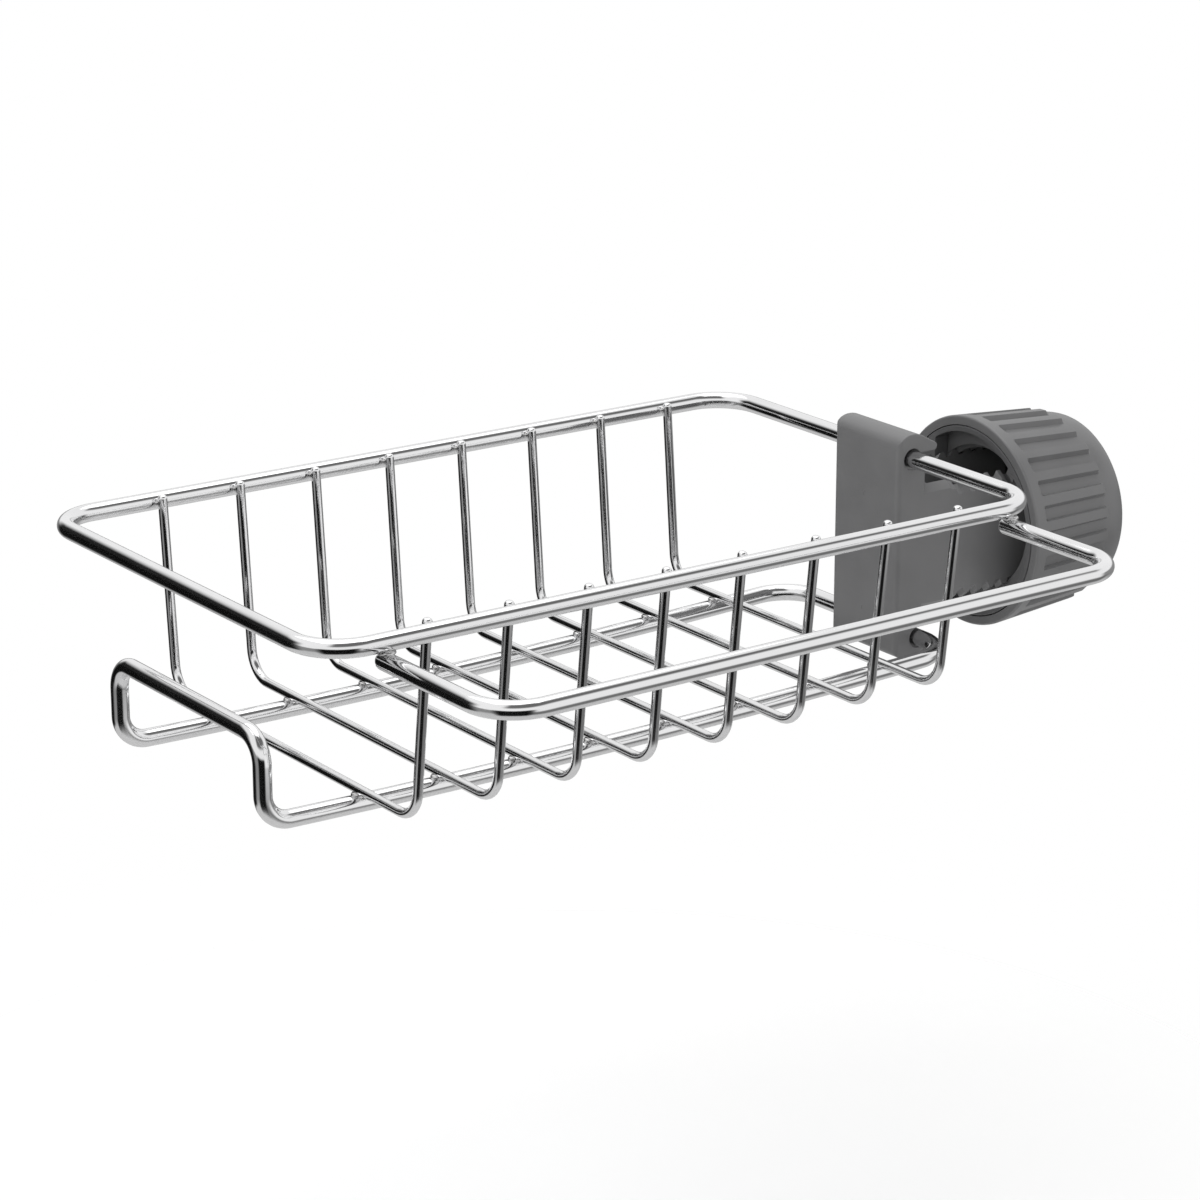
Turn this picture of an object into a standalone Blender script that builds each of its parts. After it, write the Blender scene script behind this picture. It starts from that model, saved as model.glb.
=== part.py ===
"""Faucet shelf: a welded wire basket with a towel rail, held to an upright tube by a moulded clamp.

Metres, +Z up. The origin is where the tube's axis crosses the knob's axis. +X runs from the basket to
the knob, and -Y is the side with the towel rail. The basket's wires are modelled about the middle of
the rim's end wire, which hangs in the clamp's upper hook.
"""

import math

import bmesh
import bpy
from mathutils import Vector

# Clearances
WELD_GAP = 0.0003
HOOK_GAP = 0.0003
SEAT_GAP = 0.0003
SLIDE_GAP = 0.0003
THREAD_GAP = 0.0004
TUBE_SIDE_GAP = 0.0002

# Wire
FRAME_WIRE = 0.0052
CROSS_WIRE = 0.0028

# Basket
RIM_LENGTH = 0.2422
RIM_WIDTH = 0.149
RIM_CORNER_RADIUS = 0.014
RIM_SIDE_OFFSET = 0.0025
RIM_ABOVE_AXIS = 0.029
CROSS_COUNT = 8
CROSS_FROM_CLAMP_END = 0.0269
CROSS_FROM_FREE_END = 0.0347
CROSS_BEND_RADIUS = 0.009
NEAR_WALL_LEAN = 0.0065
FAR_WALL_LEAN = 0.0047
BASKET_DEPTH = 0.057
FLOOR_FALL = 0.0027
FLOOR_SAG = 0.002
BASE_NEAR_SIDE = 0.034
BASE_FAR_SIDE = 0.045
BASE_PAST_RIM = 0.0038
BASE_FROM_FREE_END = 0.005
BASE_CORNER_RADIUS = 0.013
RAISED_END_HEIGHT = 0.0245
RAISED_END_RADIUS = 0.008
RAIL_REACH_FREE_END = 0.0525
RAIL_REACH_CLAMP_END = 0.0485
RAIL_FROM_CLAMP_END = 0.0107
RAIL_FROM_FREE_END = 0.0195
RAIL_CORNER_RADIUS = 0.013
RAIL_PAST_RIM = 0.003

# Clamp bracket
TUBE_DIAMETER = 0.025
CHEEK_WALL = 0.0028
PLATE_FRONT_WALL = 0.0026
PLATE_BACK_WALL = 0.0021
PLATE_EDGE_ROUND = 0.002
HOOK_WALL = 0.0049
HOOK_FRONT_ROUND = 0.0045
LIP_REACH = 0.0095
LIP_ROUND = 0.00135
LIP_ABOVE_WIRE = 0.0015
FOOT_WALL = 0.0026
FOOT_REACH = 0.003
FOOT_ROUND = 0.003
SLOT_ROOT_WALL = 0.0027
COLLAR_STEP = 0.0004
COLLAR_LENGTH = 0.008
STUD_RADIUS = 0.023
STUD_PAST_TUBE = 0.0266

# Thread, as shares of the pitch where it isn't a length
PITCH = 0.005
THREAD_DEPTH = 0.0014
CREST_SHARE = 0.30
FLANK_SHARE = 0.20

# Seat pad and press ring
PAD_WALL = 0.0022
PAD_WRAP = 0.0075
PAD_HEIGHT = 0.030
RING_BORE = 0.0283
RING_WIDTH = 0.0017
RING_THICKNESS = 0.005
RING_PROUD = 0.0003

# Knob
KNOB_WALL = 0.0029
KNOB_TAPER = 0.0025
KNOB_LENGTH = 0.040
KNOB_END_WALL = 0.0034
KNOB_CHAMFER = 0.0008
KNOB_BACK_EASE = 0.0022
KNOB_BACK_BAND = 0.008
RIB_COUNT = 26
RIB_SHARE = 0.40
RIB_SLOPE_SHARE = 0.06
RIB_START = 0.004
RIB_HEIGHT = 0.0015
RIB_END_SLOPE = 0.0012
RIB_TURN = math.radians(2.25)

# Fineness of the faceted curves
BEND_STEPS = 6
RUN_STEP = 0.030
FRAME_BEVEL_RESOLUTION = 4
CROSS_BEVEL_RESOLUTION = 3
ROUND_COLUMNS = 48
THREAD_COLUMNS = 36

# Places worked out from the sizes above
FRAME_RADIUS = FRAME_WIRE / 2
CROSS_RADIUS = CROSS_WIRE / 2
CROSS_BESIDE_FRAME = FRAME_RADIUS + CROSS_RADIUS + WELD_GAP
CHANNEL_RADIUS = FRAME_RADIUS + HOOK_GAP
BASE_FREE_X = BASE_FROM_FREE_END - RIM_LENGTH
TUBE_RADIUS = TUBE_DIAMETER / 2

PAD_BACK_X = -TUBE_RADIUS - PAD_WALL
SLOT_FLOOR_X = PAD_BACK_X - SEAT_GAP
SLOT_HALF_WIDTH = TUBE_RADIUS + TUBE_SIDE_GAP
BRACKET_HALF_WIDTH = SLOT_HALF_WIDTH + CHEEK_WALL
PLATE_BACK_X = SLOT_FLOOR_X - SLOT_ROOT_WALL
COLLAR_RADIUS = STUD_RADIUS + COLLAR_STEP
COLLAR_END_X = SLOT_FLOOR_X + COLLAR_LENGTH
STUD_END_X = TUBE_RADIUS + STUD_PAST_TUBE
THREAD_START_X = COLLAR_END_X - 1.2 * PITCH

RIM_END_X = PLATE_BACK_X - PLATE_BACK_WALL - CHANNEL_RADIUS
PLATE_FACE_X = RIM_END_X - CHANNEL_RADIUS - PLATE_FRONT_WALL
BASE_END_X = RIM_END_X + BASE_PAST_RIM
BASE_END_Z = RIM_ABOVE_AXIS - BASKET_DEPTH

RING_RADIUS = RING_BORE + RING_WIDTH
RING_FRONT_X = TUBE_RADIUS
KNOB_FRONT_X = RING_FRONT_X + RING_PROUD
MOUTH_RADIUS = RING_RADIUS + SLIDE_GAP
MOUTH_DEPTH = RING_THICKNESS + SLIDE_GAP - RING_PROUD
KNOB_RADIUS = MOUTH_RADIUS + KNOB_WALL


def clear_scene():
    for thing in list(bpy.data.objects):
        bpy.data.objects.remove(thing)


def finish(name, colour, roughness, metallic):
    """The named piece's own material."""
    material = bpy.data.materials.new(f"{name}_finish")
    material.use_nodes = True
    shader = material.node_tree.nodes["Principled BSDF"]
    shader.inputs["Base Color"].default_value = (*colour, 1)
    shader.inputs["Roughness"].default_value = roughness
    shader.inputs["Metallic"].default_value = metallic
    return material


def polished_steel(name):
    return finish(name, (0.72, 0.72, 0.73), 0.12, 1)


def grey_plastic(name):
    return finish(name, (0.14, 0.14, 0.145), 0.45, 0)


def black_rubber(name):
    return finish(name, (0.015, 0.015, 0.016), 0.7, 0)


# Wires


def rounded_path(corners, radii, closed):
    """Points along a bent wire: straight runs between the corners, each corner rounded to its radius."""
    points = []
    for index, corner in enumerate(corners):
        if not closed and index in (0, len(corners) - 1):
            points.append(corner)
            continue
        before = (corners[index - 1] - corner).normalized()
        after = (corners[(index + 1) % len(corners)] - corner).normalized()
        half = before.angle(after) / 2
        turn = math.pi - 2 * half
        radius = radii[index]
        centre = corner + (before + after).normalized() * radius / math.sin(half)
        first = (corner + before * radius / math.tan(half) - centre) / radius
        last = (corner + after * radius / math.tan(half) - centre) / radius
        for step in range(BEND_STEPS + 1):
            share = step / BEND_STEPS
            swing = first * math.sin((1 - share) * turn) + last * math.sin(share * turn)
            points.append(centre + swing / math.sin(turn) * radius)
    return points


def with_steps_on_runs(points):
    """The same closed path with points added on its straight runs, so that the runs can bow."""
    stepped = []
    for index, point in enumerate(points):
        after = points[(index + 1) % len(points)]
        pieces = max(1, round((after - point).length / RUN_STEP))
        stepped += [point.lerp(after, piece / pieces) for piece in range(pieces)]
    return stepped


def wire(name, basket, points, diameter, bevel_resolution, closed=False):
    """A round wire along the points, as a curve that hangs on the basket's empty."""
    curve = bpy.data.curves.new(name, "CURVE")
    curve.dimensions = "3D"
    curve.bevel_depth = diameter / 2
    curve.bevel_resolution = bevel_resolution
    curve.use_fill_caps = True
    spline = curve.splines.new("POLY")
    spline.points.add(len(points) - 1)
    for target, point in zip(spline.points, points):
        target.co = (*point, 1)
    spline.use_cyclic_u = closed
    spline.use_smooth = True
    curve.materials.append(polished_steel(name))
    thing = bpy.data.objects.new(name, curve)
    thing.parent = basket
    bpy.context.collection.objects.link(thing)


def floor_dip(x):
    """How far the floor lies below its clamp end at x: it falls and bows towards the free end."""
    share = (BASE_PAST_RIM - x) / (BASE_PAST_RIM - BASE_FREE_X)
    return FLOOR_FALL * share + FLOOR_SAG * 4 * share * (1 - share)


def make_rim(basket):
    """The closed rectangle of thick wire round the basket's mouth."""
    half = RIM_WIDTH / 2
    corners = [
        Vector((0, -half, 0)),
        Vector((0, half, 0)),
        Vector((-RIM_LENGTH, half, 0)),
        Vector((-RIM_LENGTH, -half, 0)),
    ]
    points = rounded_path(corners, [RIM_CORNER_RADIUS] * 4, closed=True)
    wire("rim_wire", basket, points, FRAME_WIRE, FRAME_BEVEL_RESOLUTION, closed=True)


def make_base(basket):
    """The closed ring of thick wire under the floor, bent up at the free end into a raised bar."""
    low = -BASKET_DEPTH
    high = low + RAISED_END_HEIGHT
    corners = [
        Vector((BASE_PAST_RIM, -BASE_NEAR_SIDE, low)),
        Vector((BASE_PAST_RIM, BASE_FAR_SIDE, low)),
        Vector((BASE_FREE_X, BASE_FAR_SIDE, low)),
        Vector((BASE_FREE_X, BASE_FAR_SIDE, high)),
        Vector((BASE_FREE_X, -BASE_NEAR_SIDE, high)),
        Vector((BASE_FREE_X, -BASE_NEAR_SIDE, low)),
    ]
    radii = [BASE_CORNER_RADIUS] * 2 + [RAISED_END_RADIUS] * 4
    points = with_steps_on_runs(rounded_path(corners, radii, closed=True))
    for point in points:
        point.z -= floor_dip(point.x)
    wire("base_wire", basket, points, FRAME_WIRE, FRAME_BEVEL_RESOLUTION, closed=True)


def make_rail(basket):
    """The U of thick wire for cloths, welded under the near side of the rim."""
    level = -FRAME_WIRE - WELD_GAP
    clamp_x = -RAIL_FROM_CLAMP_END
    free_x = RAIL_FROM_FREE_END - RIM_LENGTH
    inner = RAIL_PAST_RIM - RIM_WIDTH / 2
    rim_side = -RIM_WIDTH / 2
    corners = [
        Vector((free_x, inner, level)),
        Vector((free_x, rim_side - RAIL_REACH_FREE_END, level)),
        Vector((clamp_x, rim_side - RAIL_REACH_CLAMP_END, level)),
        Vector((clamp_x, inner, level)),
    ]
    points = rounded_path(corners, [RAIL_CORNER_RADIUS] * 4, closed=False)
    wire("towel_rail", basket, points, FRAME_WIRE, FRAME_BEVEL_RESOLUTION)


def make_cross_wires(basket):
    """The thin U-shaped wires of the walls and floor, welded inside the rim and onto the base wire."""
    first = CROSS_FROM_FREE_END - RIM_LENGTH
    last = -CROSS_FROM_CLAMP_END
    beside_rim = RIM_WIDTH / 2 - CROSS_BESIDE_FRAME
    top = FRAME_RADIUS
    for index in range(CROSS_COUNT):
        x = first + (last - first) * index / (CROSS_COUNT - 1)
        floor = CROSS_BESIDE_FRAME - BASKET_DEPTH - floor_dip(x)
        spread = top / -floor
        corners = [
            Vector((x, -beside_rim - NEAR_WALL_LEAN * spread, top)),
            Vector((x, -beside_rim + NEAR_WALL_LEAN, floor)),
            Vector((x, beside_rim - FAR_WALL_LEAN, floor)),
            Vector((x, beside_rim + FAR_WALL_LEAN * spread, top)),
        ]
        points = rounded_path(corners, [CROSS_BEND_RADIUS] * 4, closed=False)
        wire(f"cross_wire_{index + 1}", basket, points, CROSS_WIRE, CROSS_BEVEL_RESOLUTION)


# Solids


def mesh_object(name, shape, material=None, place=(0, 0, 0)):
    """An object of the bmesh, which is given in the part's own frame, with its origin at the place."""
    bmesh.ops.recalc_face_normals(shape, faces=shape.faces)
    bmesh.ops.translate(shape, verts=shape.verts, vec=-Vector(place))
    mesh = bpy.data.meshes.new(name)
    shape.to_mesh(mesh)
    shape.free()
    mesh.shade_smooth()
    mesh.set_sharp_from_angle(angle=math.radians(35))
    if material:
        mesh.materials.append(material)
    thing = bpy.data.objects.new(name, mesh)
    thing.location = place
    bpy.context.collection.objects.link(thing)
    return thing


def combine(thing, operation, name, shape):
    """Cuts, joins or meets the thing with a helper of that name and shape, which stays hidden."""
    helper = mesh_object(name, shape)
    helper.hide_render = True
    helper.display_type = "WIRE"
    modifier = thing.modifiers.new(name, "BOOLEAN")
    modifier.operation = operation
    modifier.object = helper
    return helper


def prism(outline, low, high):
    """A solid with the closed outline of (a, b) points, from low to high along its third axis."""
    shape = bmesh.new()
    face = shape.faces.new([shape.verts.new(low(a, b)) for a, b in outline])
    drawn = bmesh.ops.extrude_face_region(shape, geom=[face])["geom"]
    for vert, (a, b) in zip([item for item in drawn if isinstance(item, bmesh.types.BMVert)], outline):
        vert.co = high(a, b)
    return shape


def side_prism(outline, y_low, y_high):
    """A solid from an outline of (x, z) points."""
    return prism(outline, lambda x, z: (x, y_low, z), lambda x, z: (x, y_high, z))


def upright_prism(outline, z_low, z_high):
    """A solid from an outline of (x, y) points."""
    return prism(outline, lambda x, y: (x, y, z_low), lambda x, y: (x, y, z_high))


def box(low, high):
    corners = [(low[0], low[1]), (high[0], low[1]), (high[0], high[1]), (low[0], high[1])]
    return upright_prism(corners, low[2], high[2])


def arc(centre, radius, first, last, steps=BEND_STEPS):
    """Points of an arc about the centre, from the first to the last angle in radians."""
    points = []
    for step in range(steps + 1):
        angle = first + (last - first) * step / steps
        points.append((centre[0] + radius * math.cos(angle), centre[1] + radius * math.sin(angle)))
    return points


def closed_grid(rings):
    """A solid through equal rings of points, closed by a flat face on the first and the last ring."""
    shape = bmesh.new()
    rows = [[shape.verts.new(point) for point in ring] for ring in rings]
    for row, above in zip(rows, rows[1:]):
        for column in range(len(row)):
            after = (column + 1) % len(row)
            shape.faces.new((row[column], row[after], above[after], above[column]))
    shape.faces.new(rows[0])
    shape.faces.new(rows[-1])
    return shape


def drum(radius, x_low, x_high):
    """A plain cylinder about the X axis."""
    angles = [2 * math.pi * column / ROUND_COLUMNS for column in range(ROUND_COLUMNS)]
    return closed_grid([[(x, radius * math.cos(a), radius * math.sin(a)) for a in angles] for x in (x_low, x_high)])


def thread_shape(major, crest_share, x_start, x_end):
    """A right-hand thread about the X axis, on the same helix as any other, that reaches past both ends."""
    minor = major - THREAD_DEPTH
    start = THREAD_START_X + PITCH * math.floor((x_start - THREAD_START_X) / PITCH)
    turns = math.ceil((x_end - start) / PITCH) + 2
    half_crest = crest_share / 2
    profile = [
        (-half_crest, major),
        (half_crest, major),
        (half_crest + FLANK_SHARE, minor),
        (1 - half_crest - FLANK_SHARE, minor),
    ]
    shape = bmesh.new()
    rows = []
    for turn in range(turns):
        for share, radius in profile:
            row = []
            for column in range(THREAD_COLUMNS):
                x = start + PITCH * (turn + share + column / THREAD_COLUMNS)
                angle = 2 * math.pi * column / THREAD_COLUMNS
                row.append(shape.verts.new((x, radius * math.cos(angle), radius * math.sin(angle))))
            rows.append(row)
    for low, high in zip(rows, rows[1:]):
        for column in range(THREAD_COLUMNS - 1):
            shape.faces.new((low[column], low[column + 1], high[column + 1], high[column]))
    per_turn = len(profile)
    for index in range(len(rows) - per_turn - 1):
        seam = (rows[index][-1], rows[index + per_turn][0], rows[index + per_turn + 1][0], rows[index + 1][-1])
        shape.faces.new(seam)
    close_thread_end(shape, start + PITCH / 2)
    close_thread_end(shape, start + PITCH * (turns - 0.5))
    return shape


def close_thread_end(shape, x):
    """Fans the thread's open edge near x to a point on its axis."""
    tip = shape.verts.new((x, 0, 0))
    for edge in [edge for edge in shape.edges if edge.is_boundary]:
        first, second = edge.verts
        if abs(first.co.x - x) < 2 * PITCH:
            shape.faces.new((first, second, tip))


# Clamp


def bracket_outline():
    """The bracket's side view: a snap hook round the rim's end wire, and a foot round the base's."""
    rim_x, rim_z = RIM_END_X, RIM_ABOVE_AXIS
    base_x, base_z = BASE_END_X, BASE_END_Z
    bottom = base_z - CHANNEL_RADIUS - FOOT_WALL
    hook_radius = CHANNEL_RADIUS + HOOK_WALL
    toe_round = FOOT_WALL / 2
    lip_x = rim_x + LIP_REACH - LIP_ROUND
    lip_z = rim_z + LIP_ABOVE_WIRE + LIP_ROUND
    lip_distance = math.hypot(lip_x - rim_x, lip_z - rim_z)
    lip_angle = math.atan2(lip_z - rim_z, lip_x - rim_x)
    tangent = lip_angle + math.acos((hook_radius - LIP_ROUND) / lip_distance)
    front_x = PLATE_FACE_X + HOOK_FRONT_ROUND
    front_angle = math.acos((front_x - rim_x) / (hook_radius - HOOK_FRONT_ROUND))
    front_z = rim_z + (hook_radius - HOOK_FRONT_ROUND) * math.sin(front_angle)
    nib = math.asin(LIP_ABOVE_WIRE / CHANNEL_RADIUS)
    quarter = math.pi / 2
    outline = arc((PLATE_FACE_X + FOOT_ROUND, bottom + FOOT_ROUND), FOOT_ROUND, 2 * quarter, 3 * quarter)
    outline += arc((base_x + FOOT_REACH - toe_round, bottom + toe_round), toe_round, 3 * quarter, 5 * quarter)
    outline += arc((base_x, base_z), CHANNEL_RADIUS, 3 * quarter, quarter, 10)
    outline += [(PLATE_BACK_X, base_z + CHANNEL_RADIUS), (PLATE_BACK_X, rim_z - CHANNEL_RADIUS)]
    outline += arc((rim_x, rim_z), CHANNEL_RADIUS, 3 * quarter, nib, 12)
    outline += arc((lip_x, lip_z), LIP_ROUND, 3 * quarter, 4 * quarter + tangent)
    outline += arc((rim_x, rim_z), hook_radius, tangent, front_angle)
    outline += arc((front_x, front_z), HOOK_FRONT_ROUND, front_angle, 2 * quarter)[1:]
    return outline


def make_bracket():
    """The grey moulding: a plate with two hooks for the end wires, and a split threaded stud for the tube."""
    overshoot = 2 * STUD_RADIUS
    blank = side_prism(bracket_outline(), -overshoot, overshoot)
    bracket = mesh_object("clamp_bracket", blank, grey_plastic("clamp_bracket"))
    collar_start_x = PLATE_BACK_X - PLATE_BACK_WALL
    combine(bracket, "UNION", "stud_collar", drum(COLLAR_RADIUS, collar_start_x, COLLAR_END_X))
    combine(bracket, "UNION", "stud_thread", thread_shape(STUD_RADIUS, CREST_SHARE, THREAD_START_X, STUD_END_X))

    half = BRACKET_HALF_WIDTH
    edge = PLATE_EDGE_ROUND
    quarter = math.pi / 2
    plan = arc((PLATE_FACE_X + edge, edge - half), edge, 2 * quarter, 3 * quarter, 4)
    plan += [(STUD_END_X, -half), (STUD_END_X, half)]
    plan += arc((PLATE_FACE_X + edge, half - edge), edge, quarter, 2 * quarter, 4)
    combine(bracket, "INTERSECT", "bracket_plan", upright_prism(plan, -BASKET_DEPTH, BASKET_DEPTH))

    reach = COLLAR_RADIUS + FOOT_ROUND / 2
    slot_low = (SLOT_FLOOR_X, -SLOT_HALF_WIDTH, -reach)
    slot_high = (STUD_END_X + overshoot, SLOT_HALF_WIDTH, reach)
    combine(bracket, "DIFFERENCE", "tube_slot", box(slot_low, slot_high))


def make_seat_pad():
    """The rubber pad at the bottom of the slot, hollowed to the tube."""
    half = SLOT_HALF_WIDTH - SEAT_GAP
    lip_x = PAD_WRAP - TUBE_RADIUS
    spread = math.acos(-lip_x / TUBE_RADIUS)
    outline = [(PAD_BACK_X, -half), (PAD_BACK_X, half), (lip_x, half)]
    outline += arc((0, 0), TUBE_RADIUS, math.pi - spread, math.pi + spread, 12)
    outline.append((lip_x, -half))
    shape = upright_prism(outline, -PAD_HEIGHT / 2, PAD_HEIGHT / 2)
    mesh_object("seat_pad", shape, black_rubber("seat_pad"))


def make_press_ring():
    """The ring in the knob's mouth. A flat in its bore rides on the stud's far flat, so it can't turn."""
    back_x = RING_FRONT_X + RING_THICKNESS
    shape = drum(RING_RADIUS, RING_FRONT_X, back_x)
    ring = mesh_object("press_ring", shape, grey_plastic("press_ring"), (RING_FRONT_X, 0, 0))
    flat = BRACKET_HALF_WIDTH + SLIDE_GAP
    corner = math.acos(flat / RING_BORE)
    bore = arc((0, 0), RING_BORE, corner, 2 * math.pi - corner, 36)
    rings = [[(x, y, z) for y, z in bore] for x in (RING_FRONT_X - RING_THICKNESS, back_x + RING_THICKNESS)]
    combine(ring, "DIFFERENCE", "ring_bore", closed_grid(rings))


def knob_rows():
    """(x, radius on a rib, radius in a groove) down the knob's outside, from its mouth to its back."""
    front_x = KNOB_FRONT_X
    start_x = front_x + RIB_START
    back_x = front_x + KNOB_LENGTH
    band_x = back_x - KNOB_BACK_BAND
    rows = [(front_x, KNOB_RADIUS - KNOB_CHAMFER, KNOB_RADIUS - KNOB_CHAMFER)]
    for x, groove_depth in (
        (front_x + KNOB_CHAMFER, 0),
        (start_x, 0),
        (start_x + RIB_END_SLOPE, RIB_HEIGHT),
        (band_x - RIB_END_SLOPE, RIB_HEIGHT),
    ):
        crest = KNOB_RADIUS - KNOB_TAPER * (x - front_x) / (band_x - front_x)
        rows.append((x, crest, crest - groove_depth))
    groove = KNOB_RADIUS - KNOB_TAPER - RIB_HEIGHT
    for step in range(BEND_STEPS + 1):
        angle = math.pi / 2 * step / BEND_STEPS
        x = band_x + KNOB_BACK_BAND * math.sin(angle)
        radius = groove - KNOB_BACK_EASE * (1 - math.cos(angle))
        rows.append((x, radius, radius))
    return rows


def make_knob():
    """The ribbed cap nut. It screws along the stud and drives the press ring against the tube."""
    pitch = 2 * math.pi / RIB_COUNT
    columns = []
    for rib in range(RIB_COUNT):
        start = RIB_TURN + pitch * rib
        columns.append((start, True))
        columns.append((start + pitch * RIB_SHARE, True))
        columns.append((start + pitch * (RIB_SHARE + RIB_SLOPE_SHARE), False))
        columns.append((start + pitch * (1 - RIB_SLOPE_SHARE), False))
    rings = []
    for x, on_rib, in_groove in knob_rows():
        radii = [on_rib if rib else in_groove for angle, rib in columns]
        rings.append([(x, r * math.cos(angle), r * math.sin(angle)) for r, (angle, rib) in zip(radii, columns)])
    knob = mesh_object("clamp_knob", closed_grid(rings), grey_plastic("clamp_knob"), (KNOB_FRONT_X, 0, 0))

    mouth_floor_x = KNOB_FRONT_X + MOUTH_DEPTH
    bore_end_x = KNOB_FRONT_X + KNOB_LENGTH - KNOB_END_WALL
    bore_crest = CREST_SHARE + 2 * SLIDE_GAP / PITCH
    bore_start_x = mouth_floor_x - 2 * SLIDE_GAP
    thread = thread_shape(STUD_RADIUS + THREAD_GAP, bore_crest, bore_start_x - 2 * PITCH, bore_end_x + PITCH)
    bore = combine(knob, "DIFFERENCE", "knob_thread", thread)
    reach = KNOB_RADIUS
    limits = box((bore_start_x, -reach, -reach), (bore_end_x, reach, reach))
    combine(bore, "INTERSECT", "knob_thread_limits", limits)
    combine(knob, "DIFFERENCE", "knob_mouth", drum(MOUTH_RADIUS, KNOB_FRONT_X - MOUTH_DEPTH, mouth_floor_x))


clear_scene()
basket_frame = bpy.data.objects.new("basket_frame", None)
basket_frame.location = (RIM_END_X, RIM_SIDE_OFFSET, RIM_ABOVE_AXIS)
bpy.context.collection.objects.link(basket_frame)
make_rim(basket_frame)
make_base(basket_frame)
make_rail(basket_frame)
make_cross_wires(basket_frame)
make_bracket()
make_seat_pad()
make_press_ring()
make_knob()
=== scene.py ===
import math

import bmesh
import bpy
from mathutils import Matrix, Vector, noise


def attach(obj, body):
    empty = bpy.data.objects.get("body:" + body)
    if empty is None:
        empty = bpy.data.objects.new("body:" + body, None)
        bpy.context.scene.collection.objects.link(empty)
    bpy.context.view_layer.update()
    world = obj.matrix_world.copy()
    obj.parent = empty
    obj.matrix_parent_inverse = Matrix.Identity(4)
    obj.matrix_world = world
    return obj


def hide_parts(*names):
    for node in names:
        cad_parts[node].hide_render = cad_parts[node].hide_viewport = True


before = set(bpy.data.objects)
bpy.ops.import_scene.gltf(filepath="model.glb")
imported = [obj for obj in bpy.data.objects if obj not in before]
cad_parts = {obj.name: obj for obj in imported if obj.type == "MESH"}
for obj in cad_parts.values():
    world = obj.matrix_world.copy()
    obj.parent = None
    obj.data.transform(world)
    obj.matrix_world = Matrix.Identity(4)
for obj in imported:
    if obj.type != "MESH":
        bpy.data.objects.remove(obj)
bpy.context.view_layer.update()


# The rim is the closed rectangle of 5.2 mm stainless wire round the basket's mouth. It is bent on a
# jig, butt-welded and polished with the whole basket. Its clamp end hangs in the bracket's hook.

FRAME_WIRE = 0.0052
FRAME_RADIUS = FRAME_WIRE / 2
RIM_END = Vector((-0.0227, 0.0025, 0.029))
RIM_LENGTH = 0.2422
RIM_WIDTH = 0.149
RIM_CORNER_RADIUS = 0.014
BEND_STEPS = 16
FRAME_WIRE_SIDES = 28
END_ROUND_STEPS = 5
SHARP_ANGLE = math.radians(38)
DRAWN_LINE_SCALE = (2600, 2600, 30)
DRAWN_LINE_DEPTH = 0.0000008
BUFFED_WAVE_SCALE = (260, 260, 45)
STEEL_DARK = (0.76, 0.76, 0.765)
STEEL_LIGHT = (0.84, 0.84, 0.845)


def node(material, kind, inputs):
    """A new node of the material, with each named input set to its value or linked to its socket."""
    made = material.node_tree.nodes.new(kind)
    for name, value in inputs.items():
        if isinstance(value, bpy.types.NodeSocket):
            material.node_tree.links.new(value, made.inputs[name])
        else:
            made.inputs[name].default_value = value
    return made


def shade_between(material, factor, dark, light):
    """A colour that goes from dark to light with the factor."""
    ramp = node(material, "ShaderNodeValToRGB", {"Fac": factor})
    ramp.color_ramp.elements[0].position = 0.3
    ramp.color_ramp.elements[1].position = 0.7
    ramp.color_ramp.elements[0].color = (*dark, 1)
    ramp.color_ramp.elements[1].color = (*light, 1)
    return ramp.outputs["Color"]


def level_between(material, factor, low, high):
    """A number that goes from low to high with the factor."""
    span = {"Value": factor, "From Min": 0.3, "From Max": 0.7, "To Min": low, "To Max": high}
    return node(material, "ShaderNodeMapRange", span).outputs["Result"]


def finish(material, colour, roughness, bump_height, bump_depth, metallic=0.0):
    """Links a colour, a roughness and a fine relief into the material's shader."""
    shader = material.node_tree.nodes["Principled BSDF"]
    shader.inputs["Metallic"].default_value = metallic
    relief = node(material, "ShaderNodeBump", {"Height": bump_height, "Distance": bump_depth})
    links = material.node_tree.links
    links.new(colour, shader.inputs["Base Color"])
    links.new(roughness, shader.inputs["Roughness"])
    links.new(relief.outputs["Normal"], shader.inputs["Normal"])


def new_material(name):
    """A new material that is made of nodes."""
    material = bpy.data.materials.new(name)
    material.use_nodes = True
    return material


def polished_steel():
    """Polished stainless wire: fine lines along the wire from drawing it, and slow waves in the polish."""
    steel = new_material("polished_steel")
    along = node(steel, "ShaderNodeAttribute", {})
    along.attribute_name = "straightened"
    drawn = node(steel, "ShaderNodeMapping", {"Vector": along.outputs["Vector"], "Scale": DRAWN_LINE_SCALE})
    lines = node(steel, "ShaderNodeTexNoise", {"Vector": drawn.outputs["Vector"], "Scale": 1, "Detail": 3})
    buffed = node(steel, "ShaderNodeMapping", {"Vector": along.outputs["Vector"], "Scale": BUFFED_WAVE_SCALE})
    waves = node(steel, "ShaderNodeTexNoise", {"Vector": buffed.outputs["Vector"], "Scale": 1, "Detail": 4})
    colour = shade_between(steel, waves.outputs["Fac"], STEEL_DARK, STEEL_LIGHT)
    roughness = level_between(steel, waves.outputs["Fac"], 0.07, 0.13)
    finish(steel, colour, roughness, lines.outputs["Fac"], DRAWN_LINE_DEPTH, metallic=1)
    return steel


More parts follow.
